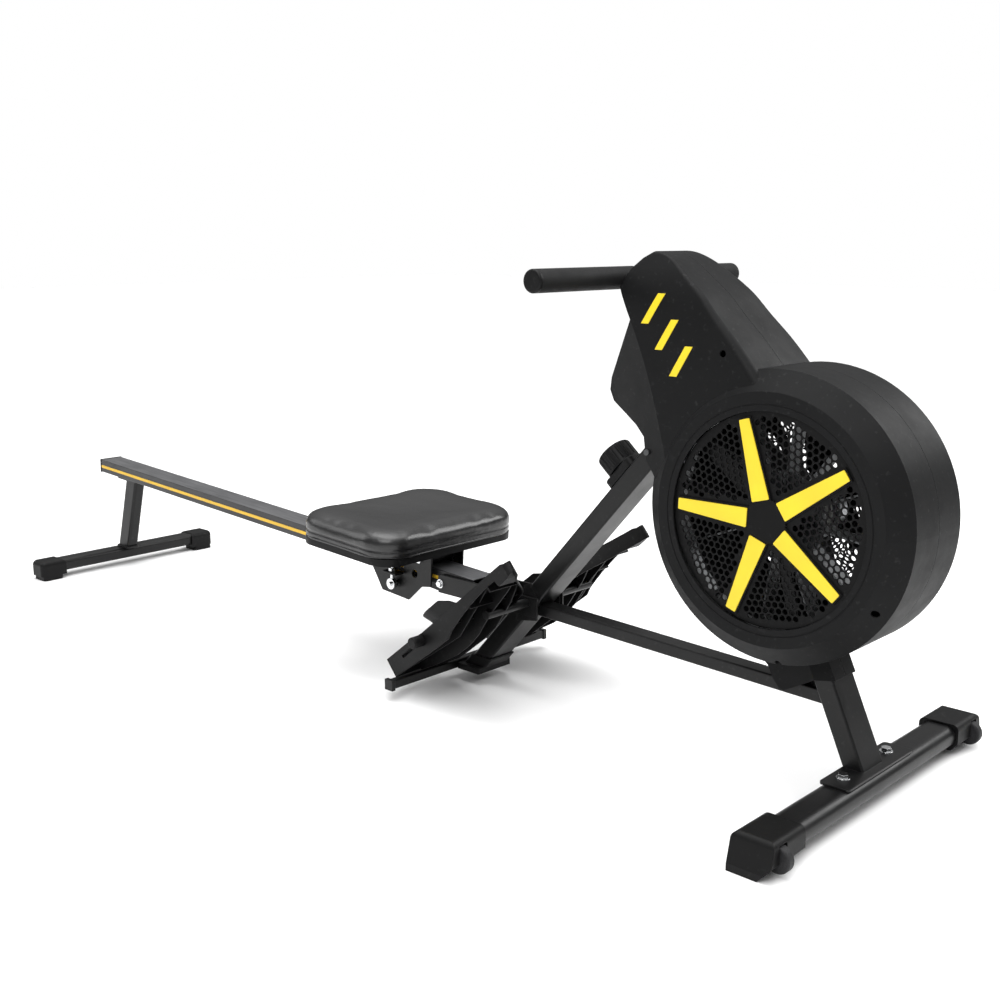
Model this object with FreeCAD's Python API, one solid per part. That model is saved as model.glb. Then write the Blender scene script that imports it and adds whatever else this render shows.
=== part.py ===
import FreeCAD, Part
import math
import os

V = FreeCAD.Vector

# Rowing machine with an air fan. Millimetres, +X forward (rower faces it), +Y rower's left, +Z up.
# Everything is drawn with the fan axle at x = 0; on export it is moved forward by FAN_X so that
# the origin is on the floor under the middle of the machine.
FAN_X = 761.7
BIG = 3000.0

# fan drum and neck
FAN_Z = 363.7
DRUM_R, DRUM_HALF = 190.0, 60.0
FACE_R, FACE_HALF = 163.0, 83.0
GROOVE_R, GROOVE_W, GROOVE_DEEP = 147.5, 2.0, 0.8
WALL = 2.6
# half width of the neck at a height
NECK_SIDE = [(34, 712), (41, 690), (52, 672), (62, 646), (68, 615), (73, 575), (77, 520), (78, 340)]
CREASE_HALF = 69.5
GRILLE_R, GRILLE_DEEP, GRILLE_THICK = 139.0, 4.5, 2.4
HOLE_R, HOLE_PITCH = 3.9, 9.5
BLADE_OUT, BLADE_IN = 131.0, 26.5
BLADE_OUT_HALF, BLADE_IN_HALF, BLADE_TURN = 7.4, 12.6, 105.8
BLADE_COUNT = 5

# rail and rear end
RAIL_TILT = 3.03
RAIL_REAR, RAIL_FRONT = -1708.0, -566.0
RAIL_REAR_TOP = 230.6
RAIL_W, RAIL_H = 49.4, 27.4
STRIPE_H, STRIPE_T = 6.0, 0.6
REAR_X, REAR_HALF, REAR_TUBE_HALF = -1670.0, 211.0, 180.0

# front foot, posts and base tube
FRONT_X, FRONT_HALF, FRONT_SLANT = 119.0, 284.0, 9.0
FRONT_TUBE_W, FRONT_TUBE_H, FRONT_TUBE_Z, FRONT_TUBE_R = 50.0, 30.0, 29.0, 14.0
SADDLE_TOP = 47.0
POST_ANGLE, POST_W, POST_D = 48.6, 50.8, 28.8
POST_X, POST_Z = -410.6, 199.5
FRONT_POST_ANGLE, FRONT_POST_W, FRONT_POST_D = 114.2, 53.8, 27.3
FRONT_POST_X, FRONT_POST_Z = 89.3, 94.4
BASE_TILT, BASE_W, BASE_H, BASE_Z = 2.04, 28.8, 19.0, 129.2
TUBE_WALL = 2.0

# handle, pulley, spool and strap
HANDLE_X, HANDLE_Z, HANDLE_HALF, GRIP_R, BAR_R = -263.0, 658.0, 228.0, 15.5, 12.0
PULLEY_X, PULLEY_Z, PULLEY_R = -185.0, 640.2, 17.0
STRAP_W, STRAP_T = 26.0, 1.5
SPOOL_R, SPOOL_HALF, SPOOL_LIP = 30.0, 14.0, 2.3
AXLE_R, SLEEVE_R = 6.0, 9.0
FAN_R, FAN_Y0, FAN_Y1 = 158.0, -50.0, -17.0
VANES = 12
PLATE_Y0, PLATE_Y1 = 52.0, 56.0

# seat and carriage, in rail coordinates: along the rail from the seat's middle, up from its top
SEAT_X = -742.0
SEAT_L, SEAT_W, CUSHION_H, BOARD_T, BOARD_LOW = 236.0, 322.0, 43.0, 12.0, 26.0
SEAT_SHIFT, PLATE_TOP = -3.0, 32.0
ROLLER_R, ROLLER_GAP, LOWER_ROLLER_R = 11.0, 0.4, 14.0
CARRIAGE_IN, CARRIAGE_T = 35.0, 3.0

# pedals, in sole coordinates: s from heel to toe, t down from the sole's face, y from its middle
PEDAL_ANGLE, HEEL_X, HEEL_Z = 40.0, -611.0, 47.0
PEDAL_Y, PEDAL_HALF = 108.0, 57.0


# ---------------------------------------------------------------- shapes
def box(x0, x1, y0, y1, z0, z1):
    return Part.makeBox(x1 - x0, y1 - y0, z1 - z0, V(x0, y0, z0))


def cyl(point, axis, radius, length):
    return Part.makeCylinder(radius, length, V(*point), V(*axis))


def cyl_y(x, z, radius, y0, y1):
    return cyl((x, y0, z), (0, 1, 0), radius, y1 - y0)


def ring_y(x, z, r_in, r_out, y0, y1):
    return cyl_y(x, z, r_out, y0, y1).cut(cyl_y(x, z, r_in, y0 - 1, y1 + 1))


def fuse(shapes):
    return shapes[0].multiFuse(shapes[1:]).removeSplitter()


def group(shapes):
    return Part.makeCompound(shapes)


def prism(points, y0, y1):
    """Polygon in the XZ plane, from y0 to y1."""
    corners = [V(x, y0, z) for x, z in points]
    face = Part.Face(Part.makePolygon(corners + corners[:1]))
    return face.extrude(V(0, y1 - y0, 0))


def mirror(shape):
    return shape.mirror(V(0, 0, 0), V(0, 1, 0))


def cut_side(shape, point, normal):
    """Remove everything on the side of a plane that its normal points to."""
    block = Part.makeBox(2 * BIG, 2 * BIG, BIG, V(-BIG, -BIG, 0))
    turn = FreeCAD.Rotation(V(0, 0, 1), V(*normal))
    block.Placement = FreeCAD.Placement(V(*point), turn)
    return shape.cut(block)


def rounded_rect(w, h, r):
    """Face in the XY plane, centred, with rounded corners."""
    a, b = w / 2 - r, h / 2 - r
    edges = []
    for k, (cx, cy) in enumerate([(a, b), (-a, b), (-a, -b), (a, -b)]):
        start = math.radians(90 * k)
        arc = [V(cx + r * math.cos(start + q), cy + r * math.sin(start + q), 0)
               for q in (0, math.pi / 4, math.pi / 2)]
        edges.append(Part.Arc(*arc).toShape())
        nx, ny = [(-a, b), (-a, -b), (a, -b), (a, b)][k]
        end = math.radians(90 * (k + 1))
        after = V(nx + r * math.cos(end), ny + r * math.sin(end), 0)
        edges.append(Part.makeLine(arc[2], after))
    return Part.Face(Part.Wire(edges))


def tube(depth, width, radius, start, end, wall=TUBE_WALL):
    """Rectangular tube between two points; width runs across the tube, level."""
    start, end = V(*start), V(*end)
    along = (end - start).normalize()
    side = V(0, 1, 0) if abs(along.y) < 0.5 else V(0, 0, 1)
    up = side.cross(along)
    turn = FreeCAD.Rotation(up, side, along, "ZYX")
    length = (end - start).Length

    def solid(d, w, r):
        bar = rounded_rect(d, w, r).extrude(V(0, 0, length))
        bar.Placement = FreeCAD.Placement(start, turn)
        return bar
    outer = solid(depth, width, radius)
    if not wall:
        return outer
    return outer.cut(solid(depth - 2 * wall, width - 2 * wall, max(radius - wall, 0.6)))


def hexagon(x, y, z, across, height):
    pts = [V(x + across / math.sqrt(3) * math.cos(math.radians(60 * k)),
             y + across / math.sqrt(3) * math.sin(math.radians(60 * k)), z) for k in range(6)]
    return Part.Face(Part.makePolygon(pts + pts[:1])).extrude(V(0, 0, height))


def bolt(point, axis, shank_r, shank, head_r=6.5, head=4.5, washer=True):
    """Bolt whose head stands on point; its shank goes back along the axis."""
    parts = [cyl((0, 0, -shank), (0, 0, 1), shank_r, shank + 1)]
    base = 0.0
    if washer:
        parts.append(cyl((0, 0, 0), (0, 0, 1), head_r + 2.5, 1.4))
        base = 1.4
    parts.append(hexagon(0, 0, base, 2 * head_r * 0.93, head))
    whole = fuse(parts)
    whole.Placement = FreeCAD.Placement(V(*point), FreeCAD.Rotation(V(0, 0, 1), V(*axis)))
    return whole


PARTS = {}


def save(name, shape):
    PARTS[name] = shape


# ---------------------------------------------------------------- reference lines
def main_post_point(along, off=0.0):
    """Point on the main post: along it from its reference point, off its upper side."""
    a = math.radians(POST_ANGLE)
    return (POST_X + along * math.cos(a) - off * math.sin(a),
            POST_Z + along * math.sin(a) + off * math.cos(a))


def main_post_at(z):
    return POST_X + (z - POST_Z) / math.tan(math.radians(POST_ANGLE))


def front_post_at(z):
    return FRONT_POST_X + (z - FRONT_POST_Z) / math.tan(math.radians(FRONT_POST_ANGLE))


def base_at(x):
    return BASE_Z - x * math.tan(math.radians(BASE_TILT))


def rail_top(x):
    return RAIL_REAR_TOP - (x - RAIL_REAR) * math.tan(math.radians(RAIL_TILT))


def on_rail(shape, x):
    """Move a shape from rail coordinates to a place x along the rail."""
    turn = FreeCAD.Rotation(V(0, 1, 0), RAIL_TILT)
    placed = shape.copy()
    placed.Placement = FreeCAD.Placement(V(x, 0, rail_top(x)), turn).multiply(placed.Placement)
    return placed


# ---------------------------------------------------------------- frame
def main_post_solid(wall):
    x0, x1 = main_post_at(10), main_post_at(545)
    whole = tube(POST_D, POST_W, 3.0, (x0, 0, 10), (x1, 0, 545), wall)
    return cut_side(whole, (0, 0, 29), (0, 0, -1))


def front_post_solid(wall):
    whole = tube(FRONT_POST_D, FRONT_POST_W, 3.0, (front_post_at(30), 0, 30),
                 (front_post_at(205), 0, 205), wall)
    whole = cut_side(whole, (0, 0, SADDLE_TOP), (0, 0, -1))
    return cut_side(whole, (0, 0, CROSS_LOW), (0, 0, 1))


def base_tube_solid(wall):
    x0, x1 = -450.0, 90.0
    whole = tube(BASE_H, BASE_W, 2.5, (x0, 0, base_at(x0)), (x1, 0, base_at(x1)), wall)
    return whole.cut(main_post_solid(0)).cut(front_post_solid(0)).Solids


PEDAL_BAR_X, PEDAL_BAR_Z, PEDAL_BAR_R, PEDAL_BAR_HALF = -445.0, 158.0, 7.0, 122.0
CROSS_LOW, CROSS_TOP, CROSS_X = 189.0, 197.0, 46.0
KNOB_ALONG = 226.0
BRACKET_HALF, BRACKET_T, BRACKET_LOW, BRACKET_TOP = 31.5, 3.0, 137.0, 168.0
CROSS_BOLT, FLOOR_BOLT_X = (-635.0, 152.6), -590.0
FOOT_LOW = 19.0


def frame_parts():
    post = main_post_solid(TUBE_WALL)
    kx, kz = main_post_point(KNOB_ALONG, 0)
    a = math.radians(POST_ANGLE)
    up = (-math.sin(a), 0, math.cos(a))
    post = post.cut(cyl((kx, 0, kz), up, 6.2, 40))
    cross = box(CROSS_X - 11, CROSS_X + 11, -PLATE_Y0, PLATE_Y0, CROSS_LOW, CROSS_TOP)
    save("front_post", fuse([front_post_solid(TUBE_WALL), cross, saddle_plate()]))
    base = [s for s in base_tube_solid(TUBE_WALL) if s.BoundBox.XLength > 200]
    save("base_tube", base[0])

    # gusset plates beside the joint of post and base tube
    corners = [(-470, 124), (-426, 132), (-426, 166), (-440, 190), (-452, 184)]
    plates = []
    for side in (-1, 1):
        y0, y1 = sorted((side * POST_W / 2, side * (POST_W / 2 + 3)))
        plates.append(prism(corners, y0, y1))
    whole = fuse([post] + plates + pulley_plates() + [brake_lug()])
    whole = whole.cut(cyl_y(PEDAL_BAR_X, PEDAL_BAR_Z, PEDAL_BAR_R + 0.04, -60, 60))
    for x, z in POST_SCREWS:
        whole = whole.cut(cyl_y(x, z, 2.2, -60, 60))
    save("main_post", whole)

    # foot under the main post
    x = main_post_at(27) - 2
    pad = box(x - 26, x + 23, -38, 38, FOOT_LOW, 29)
    pad = pad.makeFillet(3, [e for e in pad.Edges if abs(e.Vertexes[0].Z - e.Vertexes[1].Z) > 5])
    sleeve = box(x - 25, x + 40, -POST_W / 2 - 3, POST_W / 2 + 3, 29, 46)
    save("post_foot", pad.fuse(sleeve.common(pad_sleeve())).cut(main_post_solid(0)).removeSplitter())

    # channel that takes the front end of the rail
    outer = box(-640, -423, -BRACKET_HALF, BRACKET_HALF, BRACKET_LOW, BRACKET_TOP)
    inner = box(-641, -422, -BRACKET_HALF + BRACKET_T, BRACKET_HALF - BRACKET_T,
                BRACKET_LOW + BRACKET_T, BRACKET_TOP + 1)
    well = box(-487, -422, -BRACKET_HALF + BRACKET_T, BRACKET_HALF - BRACKET_T, 100, 170)
    channel = outer.cut(inner).cut(well)
    channel = channel.cut(cyl_y(PEDAL_BAR_X, PEDAL_BAR_Z, PEDAL_BAR_R + 0.04, -60, 60))
    channel = max(channel.Solids, key=lambda s: s.Volume)
    x, z = CROSS_BOLT
    channel = channel.cut(cyl_y(x, z, 4.05, -60, 60))
    channel = channel.cut(cyl((FLOOR_BOLT_X, 0, 120), (0, 0, 1), 4.05, 40))
    low = [e for e in channel.Edges if e.BoundBox.YLength < BRACKET_T + 0.1
           and e.BoundBox.YLength > 1 and e.BoundBox.XMax < -639 and e.BoundBox.ZMax > 160]
    if low:
        channel = channel.makeFillet(7, low)
    save("rail_channel", channel)

    pieces = []
    head = bolt((x, -BRACKET_HALF, z), (0, -1, 0), 4.0, 2 * BRACKET_HALF + 8, 5.0, 4.0)
    nut = ring_y(x, z, 4.0, 6.3, BRACKET_HALF, BRACKET_HALF + 6)
    pieces.append(fuse([head, nut]))
    for side in (-1, 1):
        y0, y1 = sorted((side * (RAIL_W / 2 + 0.05), side * (BRACKET_HALF - BRACKET_T - 0.05)))
        pieces.append(ring_y(x, z, 4.06, 5.5, y0, y1))
    under = rail_top(FLOOR_BOLT_X) - RAIL_H
    head = bolt((FLOOR_BOLT_X, 0, BRACKET_LOW), (0, 0, -1), 4.0, 20, 5.5, 4.0)
    nut = cyl((FLOOR_BOLT_X, 0, under + TUBE_WALL + 0.6), (0, 0, 1), 6.3, 5)
    pieces.append(fuse([head, nut]))
    save("rail_bolts", group(pieces))


def pad_sleeve():
    """Outer form of the foot's collar around the main post."""
    return tube(POST_D + 6, POST_W + 6, 4.0, (main_post_at(5), 0, 5), (main_post_at(60), 0, 60), 0)


def rail_parts():
    length = (RAIL_FRONT - RAIL_REAR) / math.cos(math.radians(RAIL_TILT))
    mid = -RAIL_H / 2
    rail = tube(RAIL_H, RAIL_W, 1.5, (0, 0, mid), (length, 0, mid))
    rail = on_rail(rail, RAIL_REAR)
    rail = rail.cut(cyl_y(CROSS_BOLT[0], CROSS_BOLT[1], 4.05, -60, 60))
    save("rail", rail.cut(cyl((FLOOR_BOLT_X, 0, 135), (0, 0, 1), 4.05, 20)))
    stripes = []
    for side in (-1, 1):
        y0, y1 = sorted((side * RAIL_W / 2, side * (RAIL_W / 2 + STRIPE_T)))
        strip = box(2, length - 80, y0, y1, mid - STRIPE_H / 2 - 1, mid + STRIPE_H / 2 - 1)
        stripes.append(on_rail(strip, RAIL_REAR))
    save("rail_stripes", group(stripes))
    cap = box(-4, 0, -RAIL_W / 2 - 0.6, RAIL_W / 2 + 0.6, -RAIL_H - 0.6, 0.6)
    cap = cap.makeFillet(1.2, [e for e in cap.Edges if e.BoundBox.XMax < -3.9])
    plug = box(0, 14, -RAIL_W / 2 + 2.1, RAIL_W / 2 - 2.1, -RAIL_H + 2.1, -2.1)
    save("rail_end_cap", on_rail(fuse([cap, plug]), RAIL_REAR))

    # leg, with a flange under the rail and a foot tube across
    top_x, foot_top = -1611.0, 38.0
    flange = box(-34, 34, -22, 22, -RAIL_H - 3, -RAIL_H)
    flange = on_rail(flange, top_x)
    low_x = REAR_X + 10
    top_z = rail_top(top_x) - RAIL_H
    slope = (top_x - low_x) / (top_z - foot_top)
    leg = tube(39, 25, 6, (low_x - 20 * slope, 0, foot_top - 20), (top_x + 20 * slope, 0, top_z + 20))
    leg = cut_side(leg, (0, 0, foot_top), (0, 0, -1))
    a = math.radians(RAIL_TILT)
    leg = cut_side(leg, (top_x, 0, top_z - 3 / math.cos(a)), (math.sin(a), 0, math.cos(a)))
    save("rear_foot_tube", tube(40, 24, 7, (REAR_X, -REAR_TUBE_HALF, 26), (REAR_X, REAR_TUBE_HALF, 26)))
    collar = tube(46, 32, 8, (low_x - 20 * slope, 0, foot_top - 20),
                  (low_x + 20 * slope, 0, foot_top + 20), 0)
    collar = cut_side(collar, (0, 0, foot_top), (0, 0, -1))
    collar = cut_side(collar, (0, 0, foot_top + 4), (0, 0, 1))
    solid_leg = tube(39, 25, 6, (low_x - 20 * slope, 0, foot_top - 20),
                     (top_x + 20 * slope, 0, top_z + 20), 0)
    save("rear_leg", fuse([leg, flange, collar.cut(solid_leg)]))


def rear_caps():
    body = box(REAR_X - 24, REAR_X + 24, 156, REAR_HALF, 9, 41)
    body = body.makeFillet(10, [e for e in body.Edges if e.BoundBox.ZMin > 40.9
                                or (e.BoundBox.ZLength > 20 and e.BoundBox.YMin > 200)])
    pad = box(REAR_X - 20, REAR_X + 24, 164, REAR_HALF - 4, 0, 10)
    pad = pad.makeFillet(6, [e for e in pad.Edges if e.BoundBox.ZLength > 5])
    body = body.fuse(pad).removeSplitter()
    body = body.cut(tube(40, 24, 7, (REAR_X, 100, 26), (REAR_X, REAR_TUBE_HALF, 26), 0))
    save("rear_caps", group([body, mirror(body)]))


def saddle_plate():
    """Plate under the front post that is bolted on the front foot."""
    low = FRONT_TUBE_Z + FRONT_TUBE_H / 2
    saddle = box(FRONT_X - 23, FRONT_X + 19, -88, 88, low, SADDLE_TOP)
    saddle = saddle.makeFillet(6, [e for e in saddle.Edges if e.BoundBox.ZLength > 2.9])
    for side in (-1, 1):
        saddle = saddle.cut(cyl((FRONT_X - 5, 58 * side, 30), (0, 0, 1), 4.06, 30))
    return saddle


WHEEL_X, WHEEL_Z, WHEEL_R, WHEEL_Y = 143.0, 23.0, 17.0, 257.0


def front_foot():
    z = FRONT_TUBE_Z
    bar = tube(FRONT_TUBE_W, FRONT_TUBE_H, FRONT_TUBE_R, (FRONT_X, -238, z), (FRONT_X, 238, z))
    for side in (-1, 1):
        bar = bar.cut(cyl((FRONT_X - 5, 58 * side, z), (0, 0, 1), 4.06, 30))
    save("front_foot_tube", bar)
    save("saddle_bolts", group([bolt((FRONT_X - 5, 58 * s, SADDLE_TOP), (0, 0, 1), 4.0, 12)
                                for s in (-1, 1)]))

    body = box(FRONT_X - 29, FRONT_X + 29, 207, FRONT_HALF, 9, 47.5)
    body = cut_side(body, (0, FRONT_HALF, 9), (0, 38.5, FRONT_SLANT))
    body = body.makeFillet(9, [e for e in body.Edges
                               if e.BoundBox.ZMin > 47.4 and e.BoundBox.YMax > 210])
    pad = box(FRONT_X - 29, FRONT_X + 22, 232, FRONT_HALF, 0, 10)
    cap = body.fuse(pad).removeSplitter()
    cap = cut_side(cap, (FRONT_X + 29, 0, 20), (0.75, 0, -0.66))
    cap = cap.cut(tube(FRONT_TUBE_W, FRONT_TUBE_H, FRONT_TUBE_R, (FRONT_X, 100, z), (FRONT_X, 238, z), 0))
    cap = cap.cut(box(WHEEL_X - WHEEL_R - 3, 200, WHEEL_Y - 8.5, WHEEL_Y + 8.5, -5, 42))
    axle = cyl_y(WHEEL_X, WHEEL_Z, 3.0, WHEEL_Y - 13, WHEEL_Y + 13)
    cap = cap.cut(axle)
    wheel = ring_y(WHEEL_X, WHEEL_Z, 3.05, WHEEL_R, WHEEL_Y - 6.5, WHEEL_Y + 6.5)
    rims = [e for e in wheel.Edges if e.BoundBox.XLength > 30 and e.BoundBox.YLength < 1]
    wheel = wheel.makeFillet(2.5, rims)
    save("front_caps", group([cap, mirror(cap)]))
    save("wheel_axles", group([axle, mirror(axle)]))
    save("transport_wheel_left", wheel)
    save("transport_wheel_right", mirror(wheel))


# ---------------------------------------------------------------- housing
REAR_LINE = [(0, FAN_Z), (-172, 350), (-174, 385), (-202, 416), (-205, 447), (-222, 461),
             (-243, 472), (-275, 488), (-283, 503), (-278, 521), (-227, 604), (-246, 637),
             (-251, 647), (-239, 671), (-226, 685), (-211, 694)]
CREST_LINE = [(-196, 692), (-175, 683), (-146, 662), (-117, 639), (-92, 613), (-66, 588),
              (-38, 558), (-12, 527)]


def inset_points(points, inset):
    """Move a closed line of points, listed clockwise, inwards by inset."""
    moved = []
    for before, here, after in zip(points[-1:] + points[:-1], points, points[1:] + points[:1]):
        d1 = V(here[0] - before[0], here[1] - before[1], 0).normalize()
        d2 = V(after[0] - here[0], after[1] - here[1], 0).normalize()
        n1, n2 = V(d1.y, -d1.x, 0), V(d2.y, -d2.x, 0)
        step = (n1 + n2) * (inset / (1 + n1.dot(n2)))
        moved.append((here[0] + step.x, here[1] + step.y))
    return moved


def neck_profile(inset):
    """Closed outline of the neck in the XZ plane, up to the middle of the drum."""
    points = [V(x, 0, z) for x, z in inset_points(REAR_LINE + CREST_LINE, inset)]
    rear, crest = points[:len(REAR_LINE)], points[len(REAR_LINE) - 1:]
    spline = Part.BSplineCurve()
    spline.interpolate(crest)
    edges = [Part.makeLine(a, b) for a, b in zip(rear, rear[1:])]
    return Part.Wire(edges + [spline.toShape(), Part.makeLine(crest[-1], rear[0])])


def neck_width(inset):
    """Solid that runs along X and has the neck's width at every height."""
    right = [V(-BIG / 4, inset - half, z) for half, z in NECK_SIDE]
    left = [V(-BIG / 4, half - inset, z) for half, z in reversed(NECK_SIDE)]
    edges = []
    for points in (right, left):
        curve = Part.BSplineCurve()
        curve.interpolate(points)
        edges.append(curve.toShape())
    edges.insert(1, Part.makeLine(right[-1], left[0]))
    edges.append(Part.makeLine(left[-1], right[0]))
    return Part.Face(Part.Wire(edges)).extrude(V(BIG / 2, 0, 0))


def neck_solid(inset):
    face = Part.Face(neck_profile(inset))
    solid = face.extrude(V(0, 200, 0))
    solid.translate(V(0, -100, 0))
    solid = solid.common(neck_width(inset))
    for side in (-1, 1):
        # the side turns in towards the rear, along a crease below the handle
        crease = V(-227 + 186, 0, 604 - 443).normalize()
        turn = V(-0.38, side * 0.925, 0)
        normal = crease.cross(turn).cross(crease).normalize()
        point = (-206, side * (CREASE_HALF - inset), 523)
        solid = cut_side(solid, point, (normal.x, normal.y, normal.z))
    return solid


def crest_fillet(solid, r_rear, r_front):
    """Round the long edges of the neck's crest, wider towards the drum."""
    edges = [e for e in solid.Edges if e.BoundBox.XLength > 120 and e.BoundBox.ZMin > 500
             and e.BoundBox.ZMax > 650]
    for edge in edges:
        first = edge.valueAt(edge.FirstParameter)
        rear_first = first.z > 640
        radii = (r_rear, r_front) if rear_first else (r_front, r_rear)
        near = [e for e in solid.Edges if e.CenterOfMass.distanceToPoint(edge.CenterOfMass) < 0.5]
        solid = solid.makeFillet(radii[0], radii[1], near[:1])
    return solid


def drum_solid(inset):
    r, h = DRUM_R - inset, DRUM_HALF
    fr, fh = FACE_R - inset * 0.4, FACE_HALF - inset
    outline = [(0, -fh), (fr, -fh), (r, -h), (r, h), (fr, fh), (0, fh)]
    corners = [V(a, b, FAN_Z) for a, b in outline]
    face = Part.Face(Part.makePolygon(corners + corners[:1]))
    return face.revolve(V(0, 0, FAN_Z), V(0, 1, 0), 360)


SKIRT_LINE = [(60, 240), (62, 196), (80, 158), (57, 157), (13, 132.5), (6, 134), (-4, 146),
              (-12, 162), (-30, 177), (-60, 205)]


def skirt_solid(inset):
    """Tail of the housing over the front post."""
    half = 39 - inset
    skirt = prism(inset_points(SKIRT_LINE, inset), -half, half)
    for side in (-1, 1):
        skirt = cut_side(skirt, (56 - inset, side * half, 158), (10, side * 19.2, 4.5))
    return skirt


def housing_form(inset):
    radii = (5, 12) if not inset else (3.5, 10)
    neck = crest_fillet(neck_solid(inset), *radii)
    return neck.fuse(drum_solid(inset)).fuse(skirt_solid(inset))


SCREWS = [(-76, 568, 66), (150, 272, 60), (17, 176, 39)]
POST_SCREWS = [(-196, 427)]
POST_SCREW_REACH = 78.0
CONSOLE_MID, CONSOLE_HALF_Y, CONSOLE_HALF = (-254.0, 560.5), 34.0, 30.0


def console_block(grow, front, back):
    """Box set in the sloping face below the handle."""
    dx, dz = -51.0, -83.0
    size = math.hypot(dx, dz)
    down = V(dx / size, 0, dz / size)
    out = V(dz / size, 0, -dx / size)
    half_s, half_y = CONSOLE_HALF + grow, CONSOLE_HALF_Y + grow
    block = Part.makeBox(2 * half_s, 2 * half_y, front + back, V(-half_s, -half_y, -back))
    turn = FreeCAD.Rotation(down, V(0, 1, 0), out, "ZXY")
    block.Placement = FreeCAD.Placement(V(CONSOLE_MID[0], 0, CONSOLE_MID[1]), turn)
    return block, down, out


def housing_parts():
    outer = housing_form(0)
    inner = housing_form(WALL)
    shell = outer.cut(inner)
    for side in (-1, 1):
        # round face openings for the grilles, with a narrow ledge behind them
        y0, y1 = sorted((side * (FACE_HALF - GRILLE_DEEP - GRILLE_THICK), side * 120))
        shell = shell.cut(cyl_y(0, FAN_Z, GRILLE_R, y0, y1))
        y2, y3 = sorted((side * 60, side * 120))
        shell = shell.cut(cyl_y(0, FAN_Z, GRILLE_R - 5, y2, y3))
    shell = shell.cut(main_post_grown(1.0)).cut(front_post_grown(1.0)).cut(base_grown(1.0))
    shell = shell.cut(cyl_y(HANDLE_X, HANDLE_Z, GRIP_R + 1.0, -90, 90))
    shell = shell.cut(box(-260, -215, -STRAP_W / 2 - 4, STRAP_W / 2 + 4, 634, 668))
    shell = shell.cut(box(-280, -225, -22.3, 22.3, 636.2, 640.8))
    shell = shell.cut(box(-240, -230, -22.3, 22.3, 621.7, 637))
    for side in (-1, 1):
        y0, y1 = sorted((side * (FACE_HALF - GROOVE_DEEP), side * 120))
        r0, r1 = GROOVE_R - GROOVE_W / 2, GROOVE_R + GROOVE_W / 2
        shell = shell.cut(ring_y(0, FAN_Z, r0, r1, y0, y1))
    block, down, out = console_block(0.3, 20, 25)
    shell = shell.cut(block)

    half = shell.common(box(-400, 300, -150, -0.15, 50, 800))
    ledge = ring_y(0, FAN_Z, GRILLE_R - 5, GRILLE_R + 8, GRILLE_DEEP + GRILLE_THICK - FACE_HALF, -72)
    half = half.fuse(ledge.common(outer))
    for x, z, start, reach in all_screws():
        half = half.fuse(cyl_y(x, z, 6.5, -reach, -start).common(outer))
    for x, z, start, reach in all_screws():
        half = half.cut(cyl_y(x, z, 2.2, -120, 120)).cut(cyl_y(x, z, 4.6, -120, 12 - reach))
    half = max(half.Solids, key=lambda s: s.Volume).removeSplitter()
    save("cover_right", half)
    save("cover_left", mirror(half))

    screws = []
    for x, z, start, reach in all_screws():
        tip = 1.0 if start < 1 else start - 6
        for side in (-1, 1):
            y_head = side * (reach - 12)
            shank = cyl_y(x, z, 2.1, *sorted((y_head, side * tip)))
            head = cyl_y(x, z, 4.2, *sorted((y_head, y_head + side * 2.6)))
            screws.append(fuse([shank, head]))
    save("cover_screws", group(screws))


def all_screws():
    """Every cover screw: place, where its boss starts and how far out it reaches."""
    screws = [(x, z, 0.15, reach) for x, z, reach in SCREWS]
    return screws + [(x, z, POST_W / 2 + 1.2, POST_SCREW_REACH) for x, z in POST_SCREWS]


def main_post_grown(gap):
    return tube(POST_D + 2 * gap, POST_W + 2 * gap, 3.0, (main_post_at(10), 0, 10),
                (main_post_at(545), 0, 545), 0)


def front_post_grown(gap):
    return tube(FRONT_POST_D + 2 * gap, FRONT_POST_W + 2 * gap, 3.0, (front_post_at(30), 0, 30),
                (front_post_at(190), 0, 190), 0)


def base_grown(gap):
    return tube(BASE_H + 2 * gap, BASE_W + 2 * gap, 2.5, (-450, 0, base_at(-450)),
                (90, 0, base_at(90)), 0)


def blade_outline(turn, grow, y):
    """Corners of one tapered blade on the grille."""
    a = math.radians(turn)
    out = V(math.cos(a), 0, math.sin(a))
    side = V(-math.sin(a), 0, math.cos(a))
    centre = V(0, y, FAN_Z)
    r0, r1 = BLADE_OUT + grow, BLADE_IN - grow
    w0, w1 = BLADE_OUT_HALF + grow, BLADE_IN_HALF + grow
    return [centre + out * r0 + side * w0, centre + out * r0 - side * w0,
            centre + out * r1 - side * w1, centre + out * r1 + side * w1]


def blade_solid(turn, grow, y, height):
    corners = blade_outline(turn, grow, y)
    face = Part.Face(Part.makePolygon(corners + corners[:1]))
    blade = face.extrude(V(0, height, 0))
    upright = [e for e in blade.Edges if e.BoundBox.YLength > abs(height) * 0.9]
    return blade.makeFillet(1.5, upright)


def near_blade(x, z, gap):
    """True where a grille hole would come too close to a blade or the hub."""
    if math.hypot(x, z) < BLADE_IN + 10:
        return True
    for k in range(BLADE_COUNT):
        a = math.radians(BLADE_TURN + 360 / BLADE_COUNT * k)
        along = x * math.cos(a) + z * math.sin(a)
        across = abs(-x * math.sin(a) + z * math.cos(a))
        share = (along - BLADE_IN) / (BLADE_OUT - BLADE_IN)
        half = BLADE_IN_HALF + (BLADE_OUT_HALF - BLADE_IN_HALF) * share
        if BLADE_IN - gap < along < BLADE_OUT + gap and across < half + gap:
            return True
    return False


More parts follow.
